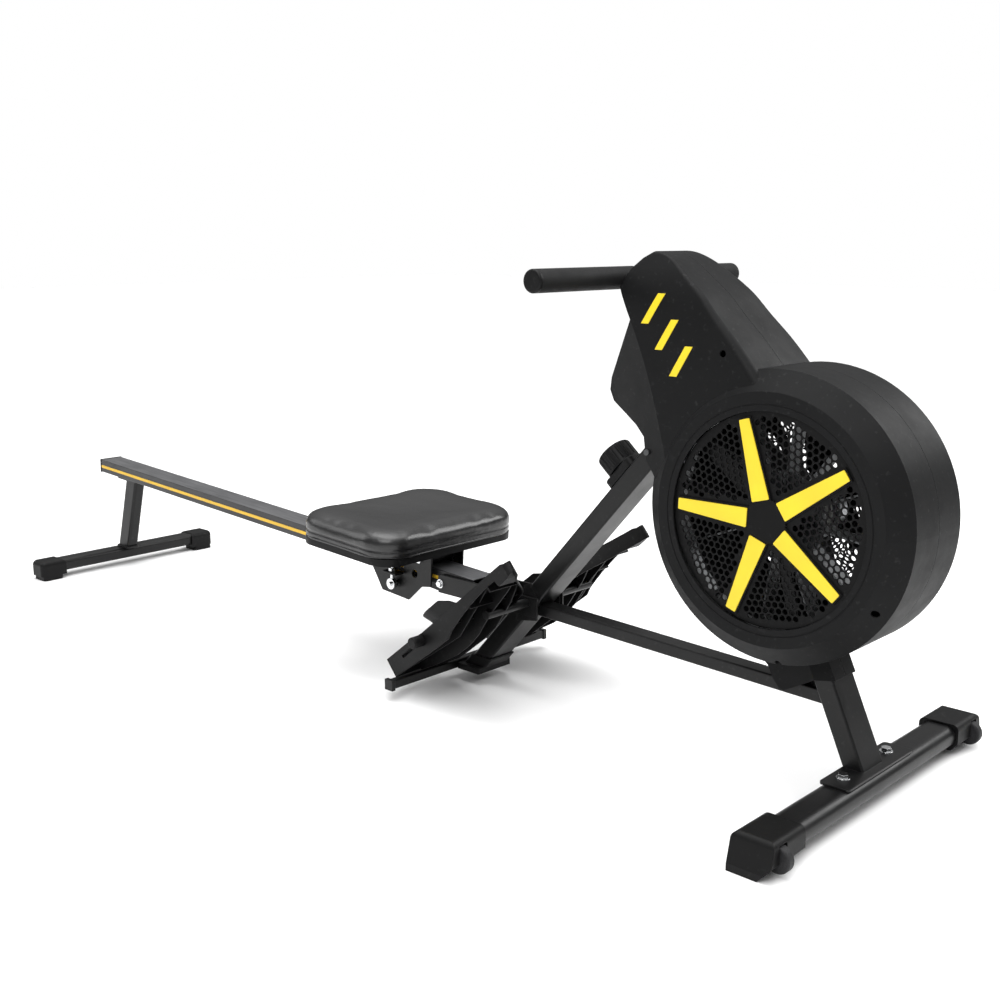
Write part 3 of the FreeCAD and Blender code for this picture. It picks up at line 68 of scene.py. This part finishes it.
# ------------------------------------------------------------------ node tree helpers
class Tree:
    """A small helper that builds a material's node tree."""

    def __init__(self, name):
        self.material = bpy.data.materials.new(name)
        self.material.use_nodes = True
        self.tree = self.material.node_tree
        self.tree.nodes.clear()
        self.out = self.add("ShaderNodeOutputMaterial")
        self.coords = self.add("ShaderNodeTexCoord").outputs["Object"]

    def add(self, kind, **settings):
        node = self.tree.nodes.new(kind)
        for key, value in settings.items():
            setattr(node, key, value)
        return node

    def put(self, socket, value):
        if isinstance(value, bpy.types.NodeSocket):
            self.tree.links.new(value, socket)
        elif isinstance(value, (tuple, list)):
            size = len(socket.default_value)
            socket.default_value = (tuple(value) + (1.0,))[:size]
        else:
            socket.default_value = value

    def scaled(self, scale):
        if not isinstance(scale, (tuple, list)):
            return self.coords
        node = self.add("ShaderNodeMapping")
        self.put(node.inputs["Vector"], self.coords)
        self.put(node.inputs["Scale"], scale)
        return node.outputs["Vector"]

    def noise(self, scale, detail=3.0, rough=0.5, stretch=None):
        node = self.add("ShaderNodeTexNoise")
        self.put(node.inputs["Vector"], self.scaled(stretch))
        self.put(node.inputs["Scale"], float(scale))
        self.put(node.inputs["Detail"], detail)
        self.put(node.inputs["Roughness"], rough)
        return node.outputs["Fac"]

    def cells(self, scale):
        node = self.add("ShaderNodeTexVoronoi", feature="F1")
        self.put(node.inputs["Vector"], self.coords)
        self.put(node.inputs["Scale"], float(scale))
        return node.outputs["Distance"]

    def span(self, value, low, high, to_low=0.0, to_high=1.0):
        node = self.add("ShaderNodeMapRange")
        self.put(node.inputs["Value"], value)
        limits = {"From Min": low, "From Max": high, "To Min": to_low, "To Max": to_high}
        for key, number in limits.items():
            self.put(node.inputs[key], number)
        return node.outputs["Result"]

    def math(self, operation, a, b):
        node = self.add("ShaderNodeMath", operation=operation)
        self.put(node.inputs[0], a)
        self.put(node.inputs[1], b)
        return node.outputs[0]

    def mix(self, factor, a, b):
        node = self.add("ShaderNodeMix", data_type="RGBA")
        self.put(node.inputs[0], factor)
        self.put(node.inputs[6], a)
        self.put(node.inputs[7], b)
        return node.outputs[2]

    def bump(self, height, strength, distance, normal=None):
        node = self.add("ShaderNodeBump")
        self.put(node.inputs["Height"], height)
        self.put(node.inputs["Strength"], strength)
        self.put(node.inputs["Distance"], distance)
        if normal is not None:
            self.put(node.inputs["Normal"], normal)
        return node.outputs["Normal"]

    def soft_edge(self, radius):
        node = self.add("ShaderNodeBevel", samples=4)
        self.put(node.inputs["Radius"], radius)
        return node.outputs["Normal"]

    def edge_mask(self, radius):
        """1 on sharp edges, 0 on flats."""
        rounded = self.soft_edge(radius)
        plain = self.add("ShaderNodeNewGeometry").outputs["Normal"]
        dot = self.add("ShaderNodeVectorMath", operation="DOT_PRODUCT")
        self.put(dot.inputs[0], rounded)
        self.put(dot.inputs[1], plain)
        return self.span(dot.outputs["Value"], 0.995, 0.80), rounded

    def surface(self, **inputs):
        shader = self.add("ShaderNodeBsdfPrincipled")
        for key, value in inputs.items():
            self.put(shader.inputs[key.replace("_", " ")], value)
        self.tree.links.new(shader.outputs[0], self.out.inputs["Surface"])
        return self.material


def shade(color, factor):
    """The colour made darker or lighter."""
    return tuple(min(1.0, c * factor) for c in color)


def coated(name, color, rough, grain=1400, grain_depth=0.00006, edge=1.9, radius=0.0012, spec=0.5):
    """Painted metal or moulded plastic: fine grain, cloudy gloss, slightly polished edges."""
    t = Tree(name)
    mask, rounded = t.edge_mask(radius)
    cloud = t.noise(7, 4, 0.6)
    wear = t.math("MULTIPLY", mask, t.span(t.noise(45, 3), 0.35, 0.7))
    base = t.mix(t.span(cloud, 0.3, 0.7), shade(color, 0.88), shade(color, 1.14))
    base = t.mix(t.math("MULTIPLY", wear, 0.55), base, shade(color, edge))
    dust = t.span(t.noise(160, 2), 0.62, 0.8, 0.0, 0.05)
    base = t.mix(dust, base, (0.25, 0.25, 0.25))
    normal = t.bump(t.noise(grain, 2), 0.35, grain_depth, rounded)
    gloss = t.span(t.noise(16, 4, 0.65), 0.3, 0.7, rough - 0.05, rough + 0.07)
    return t.surface(Base_Color=base, Metallic=0.0, Specular_IOR_Level=spec, Roughness=gloss,
                     Normal=normal)


def metal(name, color, rough, brushed=(1, 1, 1)):
    """Bright metal; brushed gives the stretch of the fine lines."""
    t = Tree(name)
    rounded = t.soft_edge(0.0008)
    lines = t.noise(420, 3, 0.6, brushed)
    smudge = t.noise(30, 4, 0.6)
    base = t.mix(t.span(lines, 0.3, 0.7), shade(color, 0.86), shade(color, 1.06))
    smudged = t.span(smudge, 0.3, 0.75, rough, rough + 0.12)
    roughness = t.math("ADD", smudged, t.span(lines, 0.4, 0.7, 0, 0.04))
    return t.surface(Base_Color=base, Metallic=1.0, Roughness=roughness,
                     Normal=t.bump(lines, 0.15, 0.00003, rounded))


def rail_finish():
    """Black painted sides with a worn grey anodised running face on top."""
    t = Tree("rail_finish")
    split = t.add("ShaderNodeSeparateXYZ")
    t.put(split.inputs[0], t.add("ShaderNodeNewGeometry").outputs["Normal"])
    top = t.span(split.outputs["Z"], 0.7, 0.85)
    lines = t.noise(260, 3, 0.6, (0.05, 1, 1))
    track = t.noise(9, 4, 0.7, (0.25, 5, 1))
    grey = t.mix(t.span(lines, 0.3, 0.7), (0.085, 0.086, 0.09), (0.15, 0.15, 0.156))
    grey = t.mix(t.span(track, 0.5, 0.75, 0, 0.5), grey, (0.2, 0.2, 0.205))
    black = t.mix(t.noise(12, 3), (0.010, 0.010, 0.011), (0.019, 0.019, 0.020))
    normal = t.bump(t.noise(1400, 2), 0.25, 0.00005, t.soft_edge(0.001))
    return t.surface(Base_Color=t.mix(top, black, grey), Metallic=t.math("MULTIPLY", top, 0.55),
                     Roughness=t.span(t.noise(20, 4), 0.3, 0.7, 0.34, 0.46), Normal=normal)


def rubber(name, color, rough, scale=900, depth=0.00025):
    """Foam grip or rubber: open pores and dusty high spots."""
    t = Tree(name)
    pores = t.span(t.cells(scale), 0.1, 0.6)
    base = t.mix(pores, shade(color, 0.7), shade(color, 1.25))
    base = t.mix(t.span(t.noise(40, 4), 0.55, 0.8, 0, 0.25), base, shade(color, 1.9))
    return t.surface(Base_Color=base, Specular_IOR_Level=0.22,
                     Roughness=t.span(t.noise(25, 3), 0.3, 0.7, rough - 0.06, rough + 0.08),
                     Normal=t.bump(pores, 0.5, depth, t.soft_edge(0.001)))


def webbing(name, color):
    """Flat woven strap."""
    t = Tree(name)
    wave = t.add("ShaderNodeTexWave", wave_type="BANDS", bands_direction="DIAGONAL")
    t.put(wave.inputs["Vector"], t.coords)
    t.put(wave.inputs["Scale"], 330.0)
    t.put(wave.inputs["Distortion"], 1.2)
    rows = t.math("MULTIPLY", wave.outputs["Fac"], t.span(t.noise(700, 2), 0.2, 0.8, 0.5, 1.0))
    base = t.mix(rows, shade(color, 0.5), shade(color, 1.6))
    return t.surface(Base_Color=base, Roughness=0.85, Specular_IOR_Level=0.2,
                     Normal=t.bump(rows, 0.6, 0.0003))


def leather():
    """Black glossy imitation leather with fine grain and a few soft creases."""
    t = Tree("seat_leather_look")
    pebbles, fibres = t.math("MULTIPLY", t.cells(520), 0.6), t.math("MULTIPLY", t.noise(900, 3), 0.4)
    grain = t.math("ADD", pebbles, fibres)
    crease = t.span(t.noise(16, 5, 0.62), 0.35, 0.65)
    wear = t.noise(9, 4, 0.6)
    base = t.mix(t.span(wear, 0.3, 0.7), (0.0030, 0.0030, 0.0032), (0.0060, 0.0060, 0.0064))
    base = t.mix(t.span(grain, 0.1, 0.55, 0.35, 0), base, (0.012, 0.012, 0.013))
    fine = t.bump(grain, 0.30, 0.00012)
    normal = t.bump(crease, 0.35, 0.0022, fine)
    return t.surface(Base_Color=base, Roughness=t.span(wear, 0.3, 0.7, 0.28, 0.42), Coat_Weight=0.3,
                     Coat_Roughness=0.25, Specular_IOR_Level=0.5, Normal=normal)


def display():
    """Switched-off liquid crystal window."""
    t = Tree("display_look")
    base = t.mix(t.noise(60, 2), (0.10, 0.115, 0.10), (0.14, 0.155, 0.135))
    return t.surface(Base_Color=base, Roughness=t.span(t.noise(30, 3), 0.3, 0.7, 0.06, 0.14),
                     Coat_Weight=0.8, Normal=t.bump(t.noise(500, 2), 0.05, 0.00003))


def yellow(name, color):
    """Bright moulded plastic or paint, dulled at its edges and lightly speckled."""
    t = Tree(name)
    mask, rounded = t.edge_mask(0.0012)
    cloud = t.noise(14, 4, 0.6)
    base = t.mix(t.span(cloud, 0.3, 0.7), shade(color, 0.93), shade(color, 1.05))
    base = t.mix(t.math("MULTIPLY", mask, 0.35), base, shade(color, 0.55))
    base = t.mix(t.span(t.noise(220, 3), 0.66, 0.85, 0, 0.10), base, (0.12, 0.10, 0.03))
    return t.surface(Base_Color=base, Roughness=t.span(cloud, 0.3, 0.7, 0.36, 0.5),
                     Normal=t.bump(t.noise(1500, 2), 0.2, 0.00004, rounded))


LOOKS = {
    "tube": coated("tube_look", (0.0055, 0.0055, 0.0057), 0.34, spec=0.26),
    "cover": coated("cover_look", (0.0062, 0.0063, 0.0066), 0.50, 1100, 0.00008, 1.7, 0.0015, 0.11),
    "grille": coated("grille_look", (0.0035, 0.0035, 0.0037), 0.50, 1100, 0.00007, 1.8, 0.0008, 0.12),
    "plastic": coated("plastic_look", (0.0040, 0.0040, 0.0042), 0.46, 900, 0.0001, 1.9, 0.0012, 0.16),
    "inner": coated("inner_look", (0.045, 0.046, 0.048), 0.5, 900, 0.0001, 1.5, 0.001),
    "rail": rail_finish(),
    "chrome": metal("chrome_look", (0.78, 0.79, 0.80), 0.10),
    "zinc": metal("zinc_look", (0.50, 0.51, 0.53), 0.28, (1, 6, 1)),
    "nylon": coated("nylon_look", (0.42, 0.42, 0.40), 0.42, 900, 0.00008, 1.1),
    "foam": rubber("foam_look", (0.0055, 0.0055, 0.0058), 0.66),
    "tyre": rubber("tyre_look", (0.016, 0.016, 0.017), 0.6, 500, 0.0002),
    "web": webbing("web_look", (0.007, 0.007, 0.0075)),
    "leather": leather(),
    "display": display(),
    "yellow": yellow("yellow_look", (0.80, 0.60, 0.016)),
    "stripe": yellow("stripe_look", (0.72, 0.44, 0.026)),
    "fan": metal("fan_look", (0.20, 0.205, 0.21), 0.38, (1, 4, 1)),
}

WEARS = {
    "tube": ["main_post", "front_post", "base_tube", "rail_channel", "rear_leg", "rear_foot_tube",
             "front_foot_tube", "fan_plates", "seat_carriage", "heel_bar", "pedal_bar", "brake_magnets"],
    "cover": ["cover_right", "cover_left"],
    "grille": ["grille_right", "grille_left"],
    "plastic": ["post_foot", "rail_end_cap", "rear_caps", "front_caps", "console_case", "tension_base",
                "tension_knob", "grip_caps", "strap_clip", "handle_rest", "seat_board", "pedal_right",
                "pedal_left", "heel_cup_right", "heel_cup_left", "upper_roller_front", "upper_roller_rear",
                "lower_roller"],
    "rail": ["rail"],
    "stripe": ["rail_stripes"],
    "yellow": ["grille_blades", "console_button"],
    "chrome": ["rail_bolts", "saddle_bolts", "roller_hardware", "fan_bearings"],
    "zinc": ["wheel_axles", "fan_axle", "recoil_spring_case", "recoil_spring", "brake_arm", "handle_bar",
             "pulley_axle"],
    "inner": ["cover_screws"],
    "nylon": ["strap_spool", "guide_pulley"],
    "foam": ["handle_grips"],
    "tyre": ["transport_wheel_left", "transport_wheel_right"],
    "fan": ["fan_wheel"],
    "web": ["pull_strap"],
    "leather": ["seat_cushion"],
    "display": ["console_screen"],
}


def dress(thing, look):
    """Give a CAD node its look all over."""
    thing.data.materials.clear()
    thing.data.materials.append(LOOKS[look])
    for face in thing.data.polygons:
        face.material_index = 0


for look, names in WEARS.items():
    for node_name in names:
        dress(nodes[node_name], look)


# ------------------------------------------------------------------ own pieces
def mesh_piece(name, points, faces, look, smooth=True):
    """New object from points and faces, with its faces turned outwards."""
    mesh = bpy.data.meshes.new(name)
    mesh.from_pydata([tuple(p) for p in points], [], faces)
    mesh.update()
    shell = bmesh.new()
    shell.from_mesh(mesh)
    bmesh.ops.recalc_face_normals(shell, faces=shell.faces)
    shell.to_mesh(mesh)
    shell.free()
    piece = bpy.data.objects.new(name, mesh)
    bpy.context.scene.collection.objects.link(piece)
    piece.data.materials.append(LOOKS[look])
    for face in mesh.polygons:
        face.use_smooth = smooth
    return piece


def on_rail(p):
    """From seat coordinates (along, across, up from the rail) to the scene."""
    c, s = math.cos(RAIL_TILT), math.sin(RAIL_TILT)
    return Vector((SEAT.x + p[0] * c + p[2] * s, p[1], SEAT.z - p[0] * s + p[2] * c))


def rounded_outline(half_x, half_y, corner, pull, count=14):
    """Rounded rectangle whose sides pull in a little between the corners."""
    points = []
    for k, (sx, sy) in enumerate(((1, 1), (-1, 1), (-1, -1), (1, -1))):
        for i in range(count):
            a = math.radians(90 * k + 90 * i / (count - 1))
            points.append((sx * (half_x - corner) + corner * math.cos(a),
                           sy * (half_y - corner) + corner * math.sin(a)))
    done = []
    for i, here in enumerate(points):
        after = points[(i + 1) % len(points)]
        done.append(here)
        gap = math.hypot(after[0] - here[0], after[1] - here[1])
        steps = int(gap / 0.006)
        for j in range(1, steps):
            f = j / steps
            x, y = here[0] + (after[0] - here[0]) * f, here[1] + (after[1] - here[1]) * f
            inward = pull * math.sin(math.pi * f)
            if abs(after[0] - here[0]) > abs(after[1] - here[1]):
                y -= math.copysign(inward, y)
            else:
                x -= math.copysign(inward, x)
            done.append((x, y))
    return done


def stacked(outline, rings):
    """Points and faces of rings of the outline, each ring given as (inset, height)."""
    points, faces = [], []
    size = len(outline)
    for inset, height in rings:
        for x, y in outline:
            r = math.hypot(x, y)
            f = max(0.0, 1 - inset / r)
            points.append((x * f, y * f, height))
    for k in range(len(rings) - 1):
        for i in range(size):
            j = (i + 1) % size
            faces.append((k * size + i, k * size + j, (k + 1) * size + j, (k + 1) * size + i))
    return points, faces


def seat_cushion():
    """Padded seat: vinyl over foam, a sewn band round the side, slightly dished in the middle."""
    half_x, half_y = CUSHION_LONG / 2 + PAD_PROUD, CUSHION_WIDE / 2 + PAD_PROUD
    outline = rounded_outline(half_x, half_y, PAD_CORNER, SIDE_PULL)
    low, top = CUSHION_LOW + 0.001, CUSHION_LOW + 0.0320
    side = [(0.003, low), (0.0005, low + 0.004), (0.0, low + 0.012), (0.0, top - 0.008)]
    crown = [(0.003, top - 0.001), (0.009, top + 0.0035), (0.03, top + 0.0065), (0.06, top + 0.007),
             (0.09, top + 0.0065)]
    rings = side + crown
    size = len(outline)
    points, faces = stacked(outline, rings)
    faces.append(tuple(reversed(range(size))))
    faces.append(tuple(range((len(rings) - 1) * size, len(rings) * size)))
    piece = mesh_piece("seat_pad", points, faces, "leather")
    remesh = piece.modifiers.new("remesh", "REMESH")
    remesh.mode = "VOXEL"
    remesh.voxel_size = VOXEL
    apply_all(piece)
    puff(piece, low)
    smooth = piece.modifiers.new("smooth", "SMOOTH")
    smooth.iterations = 6
    divide = piece.modifiers.new("divide", "SUBSURF")
    divide.levels = divide.render_levels = 1
    apply_all(piece)
    sew(piece, half_x, half_y, low)
    for v in piece.data.vertices:
        v.co = on_rail(v.co)
    for face in piece.data.polygons:
        face.use_smooth = True
    return piece


def apply_all(piece):
    """Bake the piece's modifiers into its mesh."""
    bpy.context.view_layer.update()
    graph = bpy.context.evaluated_depsgraph_get()
    mesh = bpy.data.meshes.new_from_object(piece.evaluated_get(graph))
    piece.modifiers.clear()
    piece.data = mesh


def puff(piece, low):
    """Blow the pad up a little as cloth, then limit how far each point went."""
    start = [v.co.copy() for v in piece.data.vertices]
    cloth = piece.modifiers.new("cloth", "CLOTH")
    settings = cloth.settings
    settings.use_pressure = True
    settings.uniform_pressure_force = 4.0
    settings.effector_weights.gravity = 0.0
    settings.quality = 5
    settings.mass = 0.4
    settings.tension_stiffness = settings.compression_stiffness = 12.0
    cloth.collision_settings.use_collision = False
    cloth.point_cache.frame_start, cloth.point_cache.frame_end = 1, PUFF_STEPS
    scene = bpy.context.scene
    for number in range(1, PUFF_STEPS + 1):
        scene.frame_set(number)
    apply_all(piece)
    scene.frame_set(1)
    for v, before in zip(piece.data.vertices, start):
        move = v.co - before
        if move.length > PUFF_LIMIT:
            move *= PUFF_LIMIT / move.length
        if before.z < low + 0.003:
            move = Vector((0, 0, 0))
        v.co = before + move


def sew(piece, half_x, half_y, low):
    """Pinch a seam all the way round the side and dish the sitting face."""
    seam = low + SEAM_UP
    for v in piece.data.vertices:
        x, y, z = v.co
        edge = max(abs(x) / half_x, abs(y) / half_y)
        if edge > 0.8 and z < low + 0.03:
            depth = SEAM_DEEP * math.exp(-((z - seam) / SEAM_WIDE) ** 2)
            r = math.hypot(x, y)
            v.co.x -= depth * x / r
            v.co.y -= depth * y / r
        if z > low + 0.02:
            middle = math.exp(-(x / (half_x * 0.62)) ** 2 - (y / (half_y * 0.55)) ** 2)
            v.co.z -= DISH_DEEP * middle
        v.co.z = max(v.co.z, CUSHION_LOW)


def seat_piping():
    """Thin cord sewn in under the pad's side band."""
    outline = rounded_outline(CUSHION_LONG / 2 - PIPING_INSET, CUSHION_WIDE / 2 - PIPING_INSET,
                              PIPING_CORNER, SIDE_PULL)
    points, faces = [], []
    ring = 8
    size = len(outline)
    for i, (x, y) in enumerate(outline):
        r = math.hypot(x, y)
        for k in range(ring):
            a = 2 * math.pi * k / ring
            f = 1 + PIPING_R * math.cos(a) / r
            points.append(on_rail((x * f, y * f, CUSHION_LOW + 0.0022 + PIPING_R * math.sin(a))))
    for i in range(size):
        j = (i + 1) % size
        for k in range(ring):
            m = (k + 1) % ring
            faces.append((i * ring + k, j * ring + k, j * ring + m, i * ring + m))
    return mesh_piece("seat_piping", points, faces, "leather")


def strap_line():
    """Middle line of the strap, with its outward normal, from the clip to the spool."""
    spool = Vector((FAN_X, 0, FAN_Z))
    run = spool - PULLEY
    d = run.normalized()
    lean = math.asin((SPOOL_R - PULLEY_R) / run.length)
    up = Vector((-d.z, 0, d.x))
    n = up * math.cos(lean) - d * math.sin(lean)
    line = []
    steps = 40
    for i in range(steps):
        x = STRAP_END + (PULLEY.x - STRAP_END) * i / steps
        line.append((Vector((x, 0, PULLEY.z + PULLEY_R)), Vector((0, 0, 1))))
    turn = math.atan2(n.x, n.z)
    for i in range(13):
        a = turn * i / 12
        out = Vector((math.sin(a), 0, math.cos(a)))
        line.append((PULLEY + out * PULLEY_R, out))
    start, end = PULLEY + n * PULLEY_R, spool + n * SPOOL_R
    for i in range(1, 31):
        line.append((start + (end - start) * i / 30, n))
    for i in range(1, 49):
        a = turn + 2 * math.pi * 0.98 * i / 48
        out = Vector((math.sin(a), 0, math.cos(a)))
        line.append((spool + out * SPOOL_R, out))
    return line


def pull_strap():
    """Flat band of the strap's real thickness along its line, closed at both ends."""
    points, faces = [], []
    half = STRAP_W / 2
    rows = strap_line()
    across = 7
    for spot, out in rows:
        for level in (0.0, STRAP_T):
            for k in range(across):
                y = -half + STRAP_W * k / (across - 1)
                points.append(spot + out * level + Vector((0, y, 0)))
    width = across * 2
    for i in range(len(rows) - 1):
        a, b = i * width, (i + 1) * width
        for k in range(across - 1):
            faces.append((a + k, b + k, b + k + 1, a + k + 1))
            faces.append((a + across + k, a + across + k + 1, b + across + k + 1, b + across + k))
        faces.append((a, a + across, b + across, b))
        last = across - 1
        faces.append((a + last, b + last, b + across + last, a + across + last))
    for end in (0, (len(rows) - 1) * width):
        for k in range(across - 1):
            faces.append((end + k, end + k + 1, end + across + k + 1, end + across + k))
    return mesh_piece("strap_band", points, faces, "web", smooth=False)


cushion = seat_cushion()
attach(cushion, "seat")
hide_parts("seat_cushion")

piping = seat_piping()
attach(piping, "seat")

strap = pull_strap()
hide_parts("pull_strap")
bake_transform(strap)


def on_neck(x, z):
    """How far out the neck's right side is at a place, read off the cover."""
    cover = nodes["cover_right"]
    back = cover.matrix_world.inverted()
    start, towards = back @ Vector((x, -0.3, z)), back.to_3x3() @ Vector((0, 1, 0))
    hit, place, _, _ = cover.ray_cast(start, towards)
    return -(cover.matrix_world @ place).y if hit else 0.068


def neck_marks():
    """Three slanted bars on each side of the neck, as a plain decoration."""
    rows, cols = 9, 4
    for side, label in ((-1, "right"), (1, "left")):
        points, faces = [], []
        for k in range(3):
            x0, z0 = MARK_START[0] + MARK_STEP[0] * k, MARK_START[1] + MARK_STEP[1] * k
            base = len(points)
            for lift in (MARK_LIFT, -MARK_LIFT):
                for i in range(rows):
                    v = i / (rows - 1)
                    for j in range(cols):
                        x = x0 + MARK_WIDE * j / (cols - 1) + MARK_LEAN * v
                        z = z0 + MARK_LONG * v
                        points.append((x, side * (on_neck(x, z) + lift), z))
            below = base + rows * cols
            for i in range(rows - 1):
                for j in range(cols - 1):
                    a = i * cols + j
                    quad = (a, a + 1, a + cols + 1, a + cols)
                    faces.append(tuple(base + q for q in quad))
                    faces.append(tuple(below + q for q in reversed(quad)))
            rim = list(range(cols)) + [i * cols + cols - 1 for i in range(1, rows)]
            rim += [(rows - 1) * cols + j for j in range(cols - 2, -1, -1)]
            rim += [i * cols for i in range(rows - 2, 0, -1)]
            for a, b in zip(rim, rim[1:] + rim[:1]):
                faces.append((base + b, base + a, below + a, below + b))
        piece = mesh_piece("neck_marks_" + label, points, faces, "yellow", smooth=False)
        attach(piece, "frame")


neck_marks()

# ------------------------------------------------------------------ studio
scene = bpy.context.scene


def studio_floor():
    """Plain pale floor under the object."""
    bpy.ops.mesh.primitive_plane_add(size=30, location=(0, 0, 0))
    floor = bpy.context.object
    floor.name = "studio_floor"
    t = Tree("floor_look")
    base = t.mix(t.span(t.noise(1.5, 3), 0.3, 0.7), (0.90, 0.90, 0.90), (0.93, 0.93, 0.93))
    floor.data.materials.append(t.surface(Base_Color=base, Roughness=0.75, Specular_IOR_Level=0.15,
                                          Normal=t.bump(t.noise(300, 2), 0.05, 0.0001)))


def studio_world():
    """White behind the object, lit from a sky that is bright overhead and dim at the horizon."""
    world = bpy.data.worlds.new("studio_world")
    scene.world = world
    world.use_nodes = True
    tree = world.node_tree
    back = tree.nodes["Background"]
    back.inputs["Strength"].default_value = 1.0
    back.inputs["Color"].default_value = (1.0, 1.0, 1.0, 1)
    sky = tree.nodes.new("ShaderNodeBackground")
    height = tree.nodes.new("ShaderNodeSeparateXYZ")
    ramp = tree.nodes.new("ShaderNodeMapRange")
    ramp.inputs["From Min"].default_value, ramp.inputs["From Max"].default_value = 0.1, 0.9
    ramp.inputs["To Min"].default_value, ramp.inputs["To Max"].default_value = 0.10, 1.15
    choose = tree.nodes.new("ShaderNodeMixShader")
    links = tree.links
    links.new(tree.nodes.new("ShaderNodeTexCoord").outputs["Generated"], height.inputs[0])
    links.new(height.outputs["Z"], ramp.inputs["Value"])
    links.new(ramp.outputs["Result"], sky.inputs["Strength"])
    links.new(tree.nodes.new("ShaderNodeLightPath").outputs["Is Camera Ray"], choose.inputs[0])
    links.new(sky.outputs[0], choose.inputs[1])
    links.new(back.outputs[0], choose.inputs[2])
    links.new(choose.outputs[0], tree.nodes["World Output"].inputs["Surface"])


def lamps():
    """Four soft boxes, and an even wash straight down that keeps the whole floor pale."""
    for name, spot, aim, power, width, height in (
            ("key", (1.6, -2.2, 2.6), (0.1, 0, 0.3), 45, 1.6, 1.6),
            ("fill", (-2.4, -1.6, 1.8), (-0.2, 0, 0.3), 18, 1.6, 1.6),
            ("rim", (1.8, 2.2, 2.0), (0.5, 0, 0.4), 40, 1.4, 1.4),
            ("top", (0.0, 0.0, 3.0), (0, 0, 0), 30, 2.6, 1.2)):
        lamp = bpy.data.lights.new(name, "AREA")
        lamp.shape = "RECTANGLE"
        lamp.size, lamp.size_y = width, height
        lamp.energy = power
        light = bpy.data.objects.new(name, lamp)
        light.location = spot
        light.rotation_euler = (Vector(aim) - Vector(spot)).to_track_quat("-Z", "Y").to_euler()
        scene.collection.objects.link(light)
    wash = bpy.data.lights.new("wash", "SUN")
    wash.energy, wash.angle = 1.7, 1.2
    scene.collection.objects.link(bpy.data.objects.new("wash", wash))


def view():
    """Camera at the photograph's place."""
    lens = bpy.data.cameras.new("camera")
    lens.lens = 45.92
    camera = bpy.data.objects.new("camera", lens)
    camera.location = (0.8217 + FAN_X, -1.4466, 0.7163)
    camera.rotation_euler = (math.radians(90 - 11.78), 0, math.radians(43.06))
    scene.collection.objects.link(camera)
    scene.camera = camera


studio_floor()
studio_world()
lamps()
view()
scene.view_settings.view_transform = "Standard"
